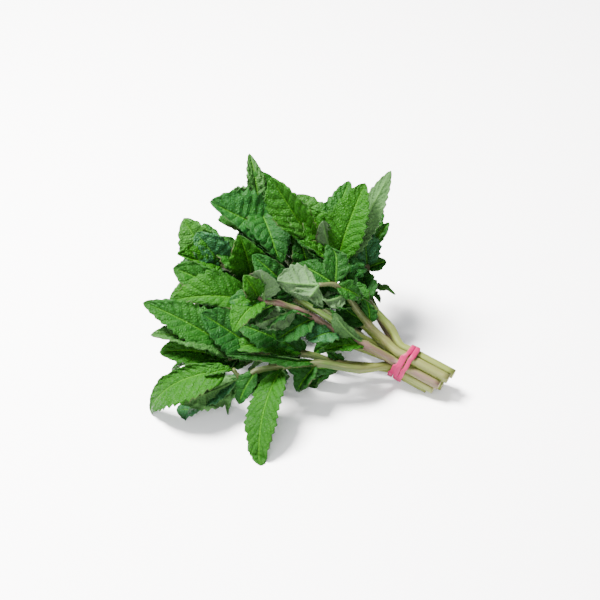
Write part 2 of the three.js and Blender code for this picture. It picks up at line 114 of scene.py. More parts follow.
SPRIGS: tuple[Sprig, ...] = (
    Sprig("sprig_front_low", (-1, -0.5), 22, (-106, -16, -36), (
        Joint((-26, 3, -13)),
        Joint((-49, 4, -19), (
            # This leaf gets the painted-shade tone: it is coloured dark because shade falls on it.
            Leaf((-97, 8, -36), 15, (0, 0.5, 0.8), Tone.PAINTED_SHADE, arch=0.06),
            Leaf((-74, 6, -6), 14, (0, 0.5, 0.8), Tone.GREEN),
        )),
        Joint((-68, 1, -21), (
            Leaf((-80, -60, -42), 22, (-0.3, 0.8, 0.5), Tone.FRESH, arch=0.15, fold=3),
            Leaf((-36, 1, -10), 12, (0, -0.5, 0.9), Tone.DEEP),
            Leaf((-69, -11, -14), 8, (0.5, 0.5, 0.3), Tone.DEEP),
        )),
        Joint((-82, -4, -24)),
        Joint((-90, -8, -24), (
            Leaf((-124, -20, -34), 20, (-0.1, -0.5, -0.9), Tone.GREEN),
            Leaf((-128, -30, -8), 30, (0, 0.8, 0.6), Tone.TEAL, arch=0.06, fold=4),
            Leaf((-99, -27, -18), 7, (-0.6, 0.3, 0.7), Tone.PALE),
        )),
        Joint((-95, -3, -27), (
            Leaf((-142, -25, -12), 35, (-0.35, 0.5, 0.8), Tone.FRESH, arch=0.2, fold=8),
            Leaf((-110, -7, -32), 9, (0, 0.8, 0.5), Tone.FRESH),
        )),
    )),
    Sprig("sprig_low_left", (-0.5, -1.5), 18, (-114, 14, -14), (
        Joint((-35, 0, 2)),
        Joint((-56, 5, 1), (
            Leaf((-97, 9, -16), 19, (0, 0.6, 0.8), Tone.FRESH, arch=0.12),
            Leaf((-88, -4, 12), 20, (0, 1, 0.2), Tone.DEEP),
            Leaf((-94, 22, -12), 27, (0, 0.4, 0.9), Tone.DEEP),
        )),
        Joint((-80, 4, -3), (
            Leaf((-112, -4, 6), 22, (0, 0.6, 0.8), Tone.GREEN),
            Leaf((-114, 27, -16), 30, (0, 0.4, 0.9), Tone.DEEP),
        )),
        Joint((-92, 3, -6), (
            Leaf((-145, 33, -16), 26, (-0.1, 0.5, 0.85), Tone.GREEN, arch=0.11),
            Leaf((-139.5, 17, -20), 24, (-0.1, 0.7, 0.7), Tone.PALE),
        )),
        Joint((-98, 2, -8), (
            Leaf((-135.5, 7, -14), 27, (-0.2, 0.5, 0.8), Tone.FRESH),
            Leaf((-130, -4, -4), 20, (-0.3, 0.7, 0.3), Tone.FRESH),
        )),
    )),
    Sprig("sprig_left", (0, -0.5), 25, (-110, 37, 10), (
        Joint((-35, 14, 4)),
        Joint((-58, 23, 7), (
            Leaf((-86, 14, 20), 22, (-0.2, 0.8, 0.1), Tone.DEEP),
            Leaf((-94, 30, 2), 32, (0, 0.5, 0.8), Tone.GREEN),
        )),
        Joint((-80, 33, 9), (
            Leaf((-130, 34, -2), 34, (-0.05, 0.35, 0.95), Tone.FRESH, arch=0.2),
            Leaf((-120, 24, 14), 26, (-0.1, 0.7, 0.6), Tone.GREEN),
        )),
        Joint((-96, 38, 9), (
            Leaf((-130, 52, 4), 27, (-0.2, 0.4, 0.9), Tone.GREEN),
            Leaf((-120, 58, 22), 20, (-0.3, 0.6, 0.2), Tone.DEEP),
        )),
        Joint((-104, 40, 9), (
            Leaf((-132, 34, 4), 24, (-0.4, 0.6, 0.6), Tone.FRESH),
            Leaf((-128, 44, 14), 14, (-0.4, 0.6, 0.3), Tone.PALE),
        )),
    )),
    Sprig("sprig_upper_left", (1, -0.5), 24, (-110, 60, 20), (
        Joint((-30, 16.5, 9.5)),
        Joint((-60, 35, 16), (
            Leaf((-84, 60, 0), 26, (0, 0.3, 1), Tone.DEEP),
            Leaf((-74, 44, 44), 20, (0, 0.3, -1), Tone.DEEP),
        )),
        Joint((-86, 48, 20), (
            Leaf((-92, 72, 4), 27, (0.1, 0.3, 1), Tone.FRESH),
            Leaf((-106, 70, 26), 24, (-0.1, 0.6, 0.6), Tone.GREEN),
        )),
        Joint((-102, 54, 22), (
            Leaf((-130, 57, 10), 26, (-0.2, 0.3, 0.95), Tone.FRESH),
            Leaf((-117, 73, 14), 24, (-0.2, 0.2, 1), Tone.TEAL),
        )),
        Joint((-108, 57, 23), (
            Leaf((-124.5, 81, 18), 24, (-0.4, 0.2, 0.9), Tone.BRIGHT),
            Leaf((-113, 79, 24), 18, (-0.1, 0.2, 1), Tone.GREEN),
        )),
        Joint((-112, 59, 24), (
            Leaf((-128, 64, 38), 14, (-0.5, 0.4, -0.5), Tone.DEEP),
        )),
    )),
    Sprig("sprig_top", (0, 0.5), 23, (-84, 86, 28), (
        Joint((-26, 20, 12)),
        Joint((-52, 44, 20), (
            # These two leaves get the painted-shade tone: they are coloured dark for the shaded hollow
            # that they fill.
            Leaf((-58, 72, 8), 20, (0, 0.2, 1), Tone.PAINTED_SHADE),
            Leaf((-50, 68, 30), 30, (0, 0.3, 0.95), Tone.PAINTED_SHADE),
        )),
        Joint((-69, 62, 25), (
            Leaf((-98, 66, 16), 30, (-0.1, 0.4, 0.9), Tone.SHEEN),
            Leaf((-58, 90, 34), 30, (0.3, 0.3, 0.9), Tone.FRESH),
        )),
        Joint((-76, 73, 27), (
            Leaf((-111, 89, 16), 35, (-0.1, 0.35, 0.9), Tone.SHEEN),
            Leaf((-110, 73, 24), 30, (-0.1, 0.5, 0.8), Tone.GREEN),
        )),
        Joint((-82, 88, 28), (
            Leaf((-86, 120, 28), 12, (0.2, 0.3, 0.9), Tone.PALE, arch=0.05),
            Leaf((-70, 54, 12), 27, (0.2, 0.2, 1), Tone.DEEP, arch=0.12),
        )),
        Joint((-83, 92, 29), (
            Leaf((-69, 104, 33), 30, (0.2, 0.3, 0.9), Tone.GREEN),
            Leaf((-98, 96, 38), 15, (-0.3, 0.6, -0.4), Tone.DEEP),
        )),
    )),
    Sprig("sprig_upper_right", (0.5, 1.5), 28, (-48, 80, 4), (
        Joint((-9, 17, 3)),
        Joint((-21, 32, 4)),
        Joint((-31, 44, 5), (
            Leaf((-22, 28, -2), 14, (0.2, 0.3, 0.9), Tone.GREEN),
            Leaf((-52, 56, -4), 16, (-0.1, 0.4, 0.9), Tone.DEEP),
            Leaf((-32, 60, 0), 20, (0.2, 0.3, 0.95), Tone.SHEEN),
        )),
        Joint((-38, 54, 6), (
            Leaf((-21, 100, 0), 26, (-0.3, 0.1, 0.95), Tone.FRESH),
            Leaf((-4.5, 108, 4), 18, (0.35, -0.1, -1), Tone.PALE, arch=0.05),
            Leaf((-61, 65.5, -6), 12, (0, 0.6, 0.7), Tone.FRESH),
            # This underside's pale LIMP tone is partly its own colour and partly painted light, lifting
            # it out of the shade of the leaf above.
            Leaf((-46, 79, -8), 13, (-0.2, 0, -1), Tone.LIMP),
        )),
        Joint((-42, 64, 7), (
            Leaf((-30, 102.5, 10), 18, (-0.3, 0.1, 0.95), Tone.GREEN),
            Leaf((-54, 86, 2), 22, (0, 0.2, 0.9), Tone.FRESH),
        )),
        Joint((-50, 67, 8), (
            Leaf((-73.5, 104, 0), 30, (-0.55, -0.1, 0.85), Tone.FRESH, arch=0.06, fold=26),
            Leaf((-60, 94, 14), 27, (0.2, 0.3, 0.95), Tone.BRIGHT),
        )),
    )),
    Sprig("sprig_right_back", (1, 0.5), 26, (-25, 62, 24), (
        Joint((-20, 40, 17), (
            Leaf((-28, 52, 12), 15, (-0.2, 0.3, 0.9), Tone.DEEP),
            Leaf((-4, 38.5, 16), 6, (0.3, 0.6, 0.6), Tone.PALE, arch=0.2),
            Leaf((-13, 33, 14), 6, (0.6, 0.2, 0.6), Tone.GREEN),
        )),
        Joint((-20, 53, 20), (
            Leaf((-24, 78, 14), 18, (0.2, 0.2, 1), Tone.TEAL),
            Leaf((-9, 56.5, 20), 10, (0.3, 0.4, 0.85), Tone.GREEN),
        )),
        Joint((-22, 63, 23), (
            Leaf((-7.3, 79, 24), 8.5, (0.4, 0.3, 0.85), Tone.GREEN),
            Leaf((-34, 78, 44), 18, (0, 0.6, -0.6), Tone.GREEN),
        )),
        Joint((-23, 70, 25), (
            Leaf((-12, 90, 28), 16, (0, 0.3, 0.9), Tone.GREEN),
            Leaf((-30, 88, 42), 16, (0, 0.4, -0.8), Tone.GREEN),
        )),
    )),
    Sprig("sprig_front_middle", (-1, 0.5), 24, (-78, 28, -40), (
        Joint((-22, 11, -5), (
            Leaf((-40, 29, -30), 15, (0.1, -0.2, -1), Tone.PALE),
            Leaf((-46, 6, -18), 13, (0, 0.7, 0.7), Tone.FRESH),
        )),
        Joint((-38, 17, -12), (
            Leaf((-54, 12, -24), 19, (-0.2, 0.5, 0.85), Tone.TEAL),
        )),
        Joint((-50, 25, -18), (
            Leaf((-72, 10, -22), 20, (-0.1, 0.6, 0.8), Tone.DEEP),
        )),
        Joint((-60, 29.5, -23), (
            Leaf((-82, 22, -32), 15, (0, -0.3, -1), Tone.LIMP),
        )),
        Joint((-70, 33, -26)),
        Joint((-78, 34, -29), (
            Leaf((-94, 17, -42), 19, (-0.25, 0.6, 0.75), Tone.FRESH, arch=0.18),
            Leaf((-78, 53, -40), 20, (0.1, -0.1, -1), Tone.LIMP),
        )),
        Joint((-81, 36, -30), (
            Leaf((-88, 48, -40), 14, (0, 0.3, 0.95), Tone.FRESH),
        )),
    )),
    Sprig("sprig_drooping", (-0.5, 1.5), 27, (-48, 46, -18), (
        Joint((-11, 11, -3)),
        Joint((-20, 21, -6)),
        Joint((-28, 31, -11)),
        Joint((-33, 38, -15), (
            Leaf((-46, 33, -26), 13, (0, -0.4, -1), Tone.LIMP),
        )),
        Joint((-39, 43, -19), (
            # This leaf gets the painted-shade tone: it is coloured dark for the shaded hollow that it
            # fills.
            Leaf((-60, 55, -14), 14, (0.1, 0.3, 0.9), Tone.PAINTED_SHADE),
            Leaf((-24, 36, -12), 12, (0, 0.3, 1), Tone.GREEN),
        )),
        Joint((-48, 43, -24), (
            Leaf((-71, 44, -30), 25, (0, -0.1, -1), Tone.LIMP),
            Leaf((-58, 27, -36), 20, (-0.2, -0.1, -1), Tone.LIMP, arch=0.14),
        )),
    )),
    Sprig("sprig_back_low", (0.5, -1.5), 17, (-78, 52, 56), (
        Joint((-25, 15, 18)),
        Joint((-46, 30, 27), (
            Leaf((-44, 29, 68), 21, (0.1, 0.8, -0.6), Tone.DEEP, fold=3),
            Leaf((-80, 26, 30), 26, (-0.1, 0.7, 0.6), Tone.DEEP),
        )),
        Joint((-62, 40, 38), (
            Leaf((-66, 35, 76), 22, (0, 0.8, -0.6), Tone.DEEP, fold=3),
            Leaf((-98, 21, 54), 24, (-0.2, 0.8, -0.5), Tone.DEEP, fold=3),
            Leaf((-56, 66, 50), 34, (0, 0.4, 0.9), Tone.DEEP),
        )),
        Joint((-74, 48, 46), (
            Leaf((-96, 62, 44), 34, (0, 0.4, 0.9), Tone.DEEP),
            Leaf((-122, 42, 36), 30, (-0.2, 0.6, 0.7), Tone.DEEP),
        )),
        Joint((-80, 52, 50), (
            Leaf((-102, 64, 50), 17, (-0.3, 0.5, -0.6), Tone.DEEP),
            Leaf((-76, 76, 56), 28, (0, 0.4, 0.8), Tone.DEEP),
        )),
    )),
)


def vector(x: float, y: float, z: float) -> Numbers:
    """A vector of three numbers."""
    return np.array((x, y, z), float)


def unit(values: Numbers) -> Numbers:
    """The vectors along the last axis, made one long."""
    return values / np.maximum(np.linalg.norm(values, axis=-1, keepdims=True), 1e-9)


def smooth_step(low: float, high: float, value: Numbers) -> Numbers:
    """0 below low and 1 above high, with a smooth rise between."""
    share = np.clip((value - low) / (high - low), 0, 1)
    return share * share * (3 - 2 * share)


VIEW_TILT = math.radians(38)
RIGHT = vector(1, 0, 0)
UPWARD = vector(0, 0, 1)
UP_THE_VIEW = vector(0, math.sin(VIEW_TILT), math.cos(VIEW_TILT))
AWAY = vector(0, math.cos(VIEW_TILT), -math.sin(VIEW_TILT))

TIE = vector(0, 0, 14)
TIE_HEADING = math.radians(26)
TIE_PITCH = math.radians(15)
TIE_AXIS = vector(
    -math.cos(TIE_PITCH) * math.cos(TIE_HEADING),
    math.cos(TIE_PITCH) * math.sin(TIE_HEADING),
    math.sin(TIE_PITCH),
)
TIE_SIDE = vector(math.sin(TIE_HEADING), math.cos(TIE_HEADING), 0)
TIE_TOP = np.cross(TIE_SIDE, TIE_AXIS)
FOOTPRINT_CENTRE = vector(-58.36, 13.12, 0)

STEM_PITCH = 5.5
ROW_PITCH = STEM_PITCH * math.sin(math.radians(60))
STEM_BASE_RADIUS = 2.6
STEM_TIP_RADIUS = 1.0
STEM_TAPER = 1.3
STRAIGHT_PAST_TIE = (0.0, 5.5)
BLADE_GAP = 0.35
LEAST_HEIGHT = 0.02


def placed(place: Sequence[float]) -> Numbers:
    """A place in the side view as a point of the bunch."""
    return TIE + RIGHT * place[0] + UP_THE_VIEW * place[1] + AWAY * place[2]


def facing(face: Sequence[float]) -> Numbers:
    """A facing in the side view as a direction of the bunch."""
    return RIGHT * face[0] + UP_THE_VIEW * face[1] - AWAY * face[2]


def in_bundle(slot: Sequence[float], past: float) -> Numbers:
    """Where a stem lies in the tied bundle, at a distance past the tie."""
    return TIE + TIE_SIDE * slot[0] * STEM_PITCH + TIE_TOP * slot[1] * ROW_PITCH + TIE_AXIS * past


@dataclass(frozen=True)
class Wedge:
    """A sprig's own wedge of the fan, which keeps its leaves from crossing the next sprig's."""

    sprig: Sprig
    apex_behind_tie: float = 10.0
    sweeps: int = 14
    blade_gap: float = 0.6
    blade_softness: float = 2.5
    softens_over: float = 0.25
    lies_down_within: float = 2.3
    stem_gap: float = STEM_BASE_RADIUS + 0.2

    @property
    def apex(self) -> Numbers:
        """The point that the fan spreads from."""
        return TIE - TIE_AXIS * self.apex_behind_tie

    def heading(self, sprig: Sprig) -> Numbers:
        """The way that a sprig heads from the apex."""
        return unit(placed(sprig.heading) - self.apex)

    def walls(self) -> list[Numbers]:
        """The wedge's flat walls, as unit normals that point into it."""
        own = self.heading(self.sprig)
        return [unit(own - self.heading(other)) for other in SPRIGS if other is not self.sprig]

    def kept_clear(
        self, points: Numbers, gap: float, floor: float, softness: Numbers, lies_down: float
    ) -> Numbers:
        """Brings points inside the wedge and above the floor.

        Args:
            points: rows of x, y, z.
            gap: the room to keep from each wall.
            floor: the lowest level.
            softness: how early each point gives way to a wall, 0 for not at all.
            lies_down: a point under this height lies down on the floor.

        Returns:
            The points, moved.
        """
        clear = points.copy()
        walls = self.walls()
        soft = np.maximum(softness, 1e-6)
        for wall in walls:
            room = (clear - self.apex) @ wall - gap
            pushed = np.where(softness > 0, soft * np.logaddexp(0, room / soft), room)
            clear += np.outer(pushed - room, wall)
        height = clear[:, 2] - floor
        clear[:, 2] = floor + np.maximum(0, np.minimum(height, 2 * (height - lies_down)))
        for _ in range(self.sweeps):
            for wall in walls:
                room = (clear - self.apex) @ wall - gap
                clear += np.outer(np.maximum(0, -room), wall)
            clear[:, 2] = np.maximum(clear[:, 2], floor)
        return clear

    def joint_point(self, place: Place) -> Numbers:
        """A joint's point, far enough inside the wedge for the stem's own thickness."""
        points = placed(place)[None, :]
        return self.kept_clear(points, self.stem_gap, STEM_BASE_RADIUS, np.zeros(1), 0)[0]

    def blade_points(self, points: Numbers, along: Numbers) -> Numbers:
        """Points of a blade kept inside the wedge, more gently away from the leaf's base."""
        softness = self.blade_softness * np.minimum(1, along / self.softens_over)
        return self.kept_clear(points, self.blade_gap, BLADE_GAP, softness, self.lies_down_within)


@dataclass(frozen=True)
class StemLine:
    """The smooth line of a stem, from its cut end through the tie and its joints."""

    points: tuple[Numbers, ...]

    @classmethod
    def of(cls, sprig: Sprig) -> "StemLine":
        """Finds the line of a sprig's stem.

        Args:
            sprig: the sprig.

        Returns:
            The line, through the bundle and every joint.
        """
        wedge = Wedge(sprig)
        bundled = [in_bundle(sprig.slot, past) for past in (-sprig.trim, *STRAIGHT_PAST_TIE)]
        return cls(tuple(bundled + [wedge.joint_point(joint.place) for joint in sprig.joints]))

    @property
    def stretches(self) -> int:
        """How many stretches the line has between its points."""
        return len(self.points) - 1

    def at(self, share: float) -> Numbers:
        """Finds a point of the line, on a centripetal Catmull-Rom curve.

        Args:
            share: how far along the line it is, each stretch counting alike.

        Returns:
            The point.
        """
        run = min(max(share, 0.0), 1.0) * self.stretches
        i = min(int(run), self.stretches - 1)
        w = run - i
        b, c = self.points[i], self.points[i + 1]
        a = self.points[i - 1] if i else 2 * b - c
        d = self.points[i + 2] if i + 2 <= self.stretches else 2 * c - b
        before, here, after = (math.sqrt(np.linalg.norm(q - p)) for p, q in ((a, b), (b, c), (c, d)))
        leave = c - b + here * ((b - a) / before - (c - a) / (before + here))
        arrive = c - b + here * ((d - c) / after - (d - b) / (here + after))
        square, cube = w * w, w * w * w
        return (
            b + leave * w
            + (3 * (c - b) - 2 * leave - arrive) * square
            + (2 * (b - c) + leave + arrive) * cube
        )

    def tangent(self, share: float) -> Numbers:
        """The way that the line runs at a share of it."""
        step = 1e-4
        return unit(self.at(share + step) - self.at(share - step))


class Shade:
    """A shader value that Python's operators work on, each adding one Math node."""

    def __init__(self, tree: bpy.types.NodeTree, socket: bpy.types.NodeSocket) -> None:
        """Wraps a node's output."""
        self.tree = tree
        self.socket = socket

    def worked(self, operation: str, *values: "Shade | float", clamped: bool = False) -> "Shade":
        """Adds a Math node.

        Args:
            operation: the node's operation.
            values: its inputs, in order.
            clamped: whether the result is kept between 0 and 1.

        Returns:
            The node's value.
        """
        node = self.tree.nodes.new("ShaderNodeMath")
        node.operation = operation
        node.use_clamp = clamped
        for slot, value in zip(node.inputs, values):
            join(self.tree, slot, value)
        return Shade(self.tree, node.outputs[0])

    def __add__(self, other: "Shade | float") -> "Shade":
        """self + other."""
        return self.worked("ADD", self, other)

    def __radd__(self, other: float) -> "Shade":
        """other + self."""
        return self.worked("ADD", other, self)

    def __sub__(self, other: "Shade | float") -> "Shade":
        """self - other."""
        return self.worked("SUBTRACT", self, other)

    def __rsub__(self, other: float) -> "Shade":
        """other - self."""
        return self.worked("SUBTRACT", other, self)

    def __mul__(self, other: "Shade | float") -> "Shade":
        """self * other."""
        return self.worked("MULTIPLY", self, other)

    def __rmul__(self, other: float) -> "Shade":
        """other * self."""
        return self.worked("MULTIPLY", other, self)

    def __truediv__(self, other: "Shade | float") -> "Shade":
        """self / other."""
        return self.worked("DIVIDE", self, other)

    def __abs__(self) -> "Shade":
        """abs(self)."""
        return self.worked("ABSOLUTE", self)

    def sine(self) -> "Shade":
        """The sine of this value in radians."""
        return self.worked("SINE", self)

    def rounded(self) -> "Shade":
        """This value rounded to a whole number."""
        return self.worked("ROUND", self)

    def or_more(self, other: "Shade | float") -> "Shade":
        """The larger of two values."""
        return self.worked("MAXIMUM", self, other)

    def clamped(self) -> "Shade":
        """This value kept between 0 and 1."""
        return self.worked("ADD", self, 0.0, clamped=True)

    def ramp(self, low: float, high: float) -> "Shade":
        """Maps this value to 0 at low and 1 at high, with a smooth rise between.

        Args:
            low: the value for 0.
            high: the value for 1, which may be under low.

        Returns:
            The mapped value.
        """
        if low > high:
            return 1 - self.ramp(high, low)
        node = self.tree.nodes.new("ShaderNodeMapRange")
        node.interpolation_type = "SMOOTHSTEP"
        self.tree.links.new(self.socket, node.inputs["Value"])
        node.inputs["From Min"].default_value = low
        node.inputs["From Max"].default_value = high
        return Shade(self.tree, node.outputs["Result"])


Setting = Shade | float | Colour


def join(tree: bpy.types.NodeTree, slot: bpy.types.NodeSocket, value: Setting) -> None:
    """Links a value to a socket, or sets the socket to it.

    Args:
        tree: the material's nodes.
        slot: the socket.
        value: a link, a number or a colour.
    """
    if isinstance(value, Shade):
        tree.links.new(value.socket, slot)
    else:
        slot.default_value = (*value, 1.0) if isinstance(value, tuple) else value


class Finish:
    """A material being made: adds nodes and joins them to its Principled shader."""

    def __init__(self, name: str) -> None:
        """Starts a material with only its shader and output.

        Args:
            name: the material's name.
        """
        self.material = bpy.data.materials.new(name)
        self.material.use_nodes = True
        self.tree = self.material.node_tree
        self.shader = self.tree.nodes["Principled BSDF"]

    def node(
        self, kind: str, settings: dict[str, str] | None = None, output: str | int = 0,
        **inputs: Setting,
    ) -> Shade:
        """Adds any node.

        Args:
            kind: the node's type.
            settings: its own settings, which are set first.
            output: the output to give back.
            inputs: a value or a link for each socket, by name with _ for a space.

        Returns:
            The node's output.
        """
        node = self.tree.nodes.new(kind)
        for key, value in (settings or {}).items():
            setattr(node, key, value)
        for key, value in inputs.items():
            join(self.tree, node.inputs[key.replace("_", " ")], value)
        return Shade(self.tree, node.outputs[output])

    def attribute(self, mark: "Mark") -> Shade:
        """A number that the mesh carries."""
        return self.node("ShaderNodeAttribute", {"attribute_name": mark.value}, "Fac")

    def point(self, x: Shade, y: Shade, z: Shade) -> Shade:
        """A place for a pattern, from three numbers."""
        return self.node("ShaderNodeCombineXYZ", X=x, Y=y, Z=z)

    def place(self) -> Shade:
        """The place on the object, in metres."""
        return self.node("ShaderNodeTexCoord", output="Object")

    def noise(self, place: Shade, scale: float, detail: float = 2.0, rough: float = 0.5) -> Shade:
        """A soft noise from 0 to 1."""
        sockets = {"Scale": scale, "Detail": detail, "Roughness": rough}
        return self.node("ShaderNodeTexNoise", Vector=place, **sockets)

    def cells(self, place: Shade, scale: float) -> Shade:
        """The distance from the edges of irregular cells."""
        settings = {"feature": "DISTANCE_TO_EDGE"}
        return self.node("ShaderNodeTexVoronoi", settings, Vector=place, Scale=scale)

    def blend(self, share: Shade, first: Shade | Colour, second: Shade | Colour) -> Shade:
        """Blends two colours.

        Args:
            share: how much of the second there is.
            first: the colour at 0.
            second: the colour at 1.

        Returns:
            The colour between them.
        """
        node = self.tree.nodes.new("ShaderNodeMix")
        node.data_type = "RGBA"
        node.clamp_factor = True
        for slot, value in ((0, share), (6, first), (7, second)):
            join(self.tree, node.inputs[slot], value)
        return Shade(self.tree, node.outputs[2])

    def layered(self, colour: Shade | Colour, *layers: tuple[Shade, Shade | Colour]) -> Shade:
        """Lays colours over one another.

        Args:
            colour: the lowest.
            layers: how much there is of each further colour, and that colour.

        Returns:
            The colour that shows.
        """
        for share, upper in layers:
            colour = self.blend(share, colour, upper)
        return colour

    def bump(self, height: Shade, depth: float) -> Shade:
        """A fine relief, with its depth in metres."""
        return self.node("ShaderNodeBump", output="Normal", Height=height, Distance=depth, Strength=1.0)

    def finish(
        self, colour: Shade | Colour, roughness: Shade | float, normal: Shade | None = None,
        **constants: float,
    ) -> bpy.types.Material:
        """Joins the shader up.

        Args:
            colour: the base colour, a link or a colour.
            roughness: the roughness, a link or a number.
            normal: the bump, if there is one.
            constants: other sockets' numbers, by name with _ for a space.

        Returns:
            The material.
        """
        sockets = {"Base Color": colour, "Roughness": roughness}
        if normal is not None:
            sockets["Normal"] = normal
        for key, value in (sockets | constants).items():
            join(self.tree, self.shader.inputs[key.replace("_", " ")], value)
        return self.material


class Mark(Enum):
    """The numbers that a mint mesh carries for its finish, one attribute each.

    A leaf uses them as they are named. A stem has its run from the cut end in LENGTH, its
    distance from the core in REACH, its cut face in UNDER, its flush in TEAL and its joints
    in LIMP.
    """

    ALONG = "along"
    ACROSS = "across"
    LENGTH = "length_mm"
    REACH = "reach_mm"
    UNDER = "underside"
    FRESH = "fresh"
    TEAL = "teal"
    LIMP = "limp"
    SEED = "seed"


@dataclass(frozen=True)
class Veins:
    """How the side veins leave the rib: their pitch in millimetres, their lean and their wandering."""

    pitch: float = 5.2
    lean: float = 0.2
    turn_per_seed: float = 3.0
    hand_offset: float = 0.5
    wander: float = 0.17
    wander_along: float = 11.0
    wander_across: float = 4.0
    wander_per_seed: float = 20.0


VEINS = Veins()


@dataclass(frozen=True)
class LeafFinish:
    """Fresh mint leaf: satin and quilted above, matt and pale with raised veins below."""

    fresh: Colour = (0.0088, 0.056, 0.0008)
    deep: Colour = (0.0034, 0.028, 0.0022)
    # The colour of the painted bluish sheen on the leaves' upper sides.
    teal: Colour = (0.012, 0.068, 0.034)
    limp: Colour = (0.05, 0.079, 0.043)
    vein: Colour = (0.03, 0.12, 0.004)
    under: Colour = (0.02, 0.068, 0.013)
    under_vein: Colour = (0.045, 0.115, 0.026)
    bruise: Colour = (0.04, 0.018, 0.017)
    rib_half_mm: float = 0.42
    side_vein_half_mm: float = 0.2
    net_mm: float = 1.5
    patch_scale: float = 55.0
    patch_share: float = 1.3
    fleck_scale: float = 0.9
    fleck_share: float = 0.9
    teal_share: float = 0.75
    limp_share: float = 0.8
    mesh_share: float = 0.6
    side_vein_share: float = 0.1
    rib_share: float = 0.55
    under_mesh_share: float = 0.35
    under_vein_share: float = 0.8
    bruise_share: float = 0.6
    roughness: float = 0.42
    relief_m: float = 0.00065
    specular: float = 0.06

    def material(self, name: str) -> bpy.types.Material:
        """Makes the leaf material.

        Args:
            name: the material's name.

        Returns:
            The material.
        """
        make = Finish(name)
        along, across = make.attribute(Mark.ALONG), make.attribute(Mark.ACROSS)
        length, reach = make.attribute(Mark.LENGTH), make.attribute(Mark.REACH)
        under, seed = make.attribute(Mark.UNDER).ramp(0.4, 0.6), make.attribute(Mark.SEED)
        aside = abs(across)
        along_mm, across_mm = along * length, across * reach
        spread = make.point(along_mm, across_mm, seed * 40.0)

        rib = abs(across_mm).ramp(self.rib_half_mm * 1.6, self.rib_half_mm * 0.5)
        rib = rib * along.ramp(1.0, 0.75)
        turn = (along - VEINS.lean * aside) * (length / VEINS.pitch) + seed * VEINS.turn_per_seed
        wander = along * VEINS.wander_along + across * VEINS.wander_across
        wander = (wander + seed * VEINS.wander_per_seed).sine()
        turn = turn + across.ramp(-0.01, 0.01) * VEINS.hand_offset + wander * VEINS.wander
        near = abs(turn - turn.rounded()) * VEINS.pitch
        side = near.ramp(self.side_vein_half_mm * 2.2, self.side_vein_half_mm * 0.6)
        side = side * aside.ramp(1.0, 0.55)
        net = make.cells(spread, 1.0 / self.net_mm)
        mesh = net.ramp(0.14, 0.02)
        veins = rib.or_more(side * 0.75)

        patch = make.noise(make.place(), self.patch_scale, 3.0)
        fleck = make.noise(spread, self.fleck_scale, 3.0, 0.65)
        light = make.attribute(Mark.FRESH) + (patch - 0.5) * self.patch_share
        light = (light + (fleck - 0.5) * self.fleck_share).clamped()
        # Painted sheen: bluish teal patches, by each leaf's teal share, where a glossy sheen would
        # catch the light.
        painted_sheen = make.attribute(Mark.TEAL) * fleck.ramp(0.3, 0.62)
        limp = make.attribute(Mark.LIMP)
        body = make.layered(
            self.deep, (light, self.fresh), (painted_sheen * self.teal_share, self.teal),
            (limp * self.limp_share, self.limp), (mesh * self.mesh_share, self.deep),
            (side * self.side_vein_share, self.vein), (rib * self.rib_share, self.vein),
        )
        below = make.layered(
            self.under, ((fleck * 0.4 + limp * 0.5).clamped(), self.limp),
            (mesh * self.under_mesh_share, self.under_vein),
            (veins * self.under_vein_share, self.under_vein),
        )
        edge = aside.ramp(0.93, 1.0) * patch.ramp(0.52, 0.66)
        colour = make.layered(body, (under, below), (edge * self.bruise_share, self.bruise))

        quilt = net.ramp(0.0, 0.45)
        height = (quilt * 0.5 - side * 0.6 - rib * 0.5 + fleck * 0.5) * (1 - under * 1.6)
        roughness = self.roughness + fleck * 0.2 + under * 0.3
        relief = make.bump(height, self.relief_m)
        return make.finish(colour, roughness, relief, Specular_IOR_Level=self.specular)


@dataclass(frozen=True)
class StemFinish:
    """Mint stem: pale green, flushed mauve on its sunny side and at its joints, tan where it is cut."""

    young: Colour = (0.022, 0.048, 0.005)
    old: Colour = (0.085, 0.105, 0.018)
    streak: Colour = (0.15, 0.15, 0.06)
    flush: Colour = (0.078, 0.045, 0.036)
    cut: Colour = (0.15, 0.11, 0.045)
    pith: Colour = (0.32, 0.31, 0.17)
    rind: Colour = (0.06, 0.04, 0.02)
    young_past_mm: tuple[float, float] = (34.0, 66.0)
    turn_per_seed: float = 7.0
    roughness: float = 0.46
    relief_m: float = 0.0002
    specular: float = 0.2

    def material(self, name: str) -> bpy.types.Material:
        """Makes the stem material.

        Args:
            name: the material's name.

        Returns:
            The material.
        """
        make = Finish(name)
        across = make.attribute(Mark.ACROSS)
        run, core = make.attribute(Mark.LENGTH), make.attribute(Mark.REACH)
        joint, flushed = make.attribute(Mark.LIMP), make.attribute(Mark.TEAL)
        seed = make.attribute(Mark.SEED)
        fibre = make.noise(make.point(run * 0.12, across * 9.0, seed * 30.0), 1.0, 3.0, 0.6)
        cloud = make.noise(make.place(), 90.0, 2.0)
        sunny = (across * math.pi + seed * self.turn_per_seed).sine().ramp(-0.4, 0.6)
        blush = flushed * (cloud.ramp(0.25, 0.55) * sunny + joint * 0.6) * fibre.ramp(0.2, 0.55)
        body = make.layered(
            self.old, (run.ramp(*self.young_past_mm), self.young),
            (fibre.ramp(0.5, 0.75) * 0.5, self.streak), (blush.clamped(), self.flush),
        )
        face = make.layered(
            self.pith, (core.ramp(0.55, 0.9), self.cut), (core.ramp(0.86, 1.0) * 0.6, self.rind)
        )
        end = make.attribute(Mark.UNDER).ramp(0.4, 0.6)
        colour = make.blend(end, body, face)
        relief = make.bump(fibre + cloud * 0.4, self.relief_m)
        roughness = self.roughness + end * 0.3 + fibre * 0.1
        return make.finish(colour, roughness, relief, Specular_IOR_Level=self.specular)


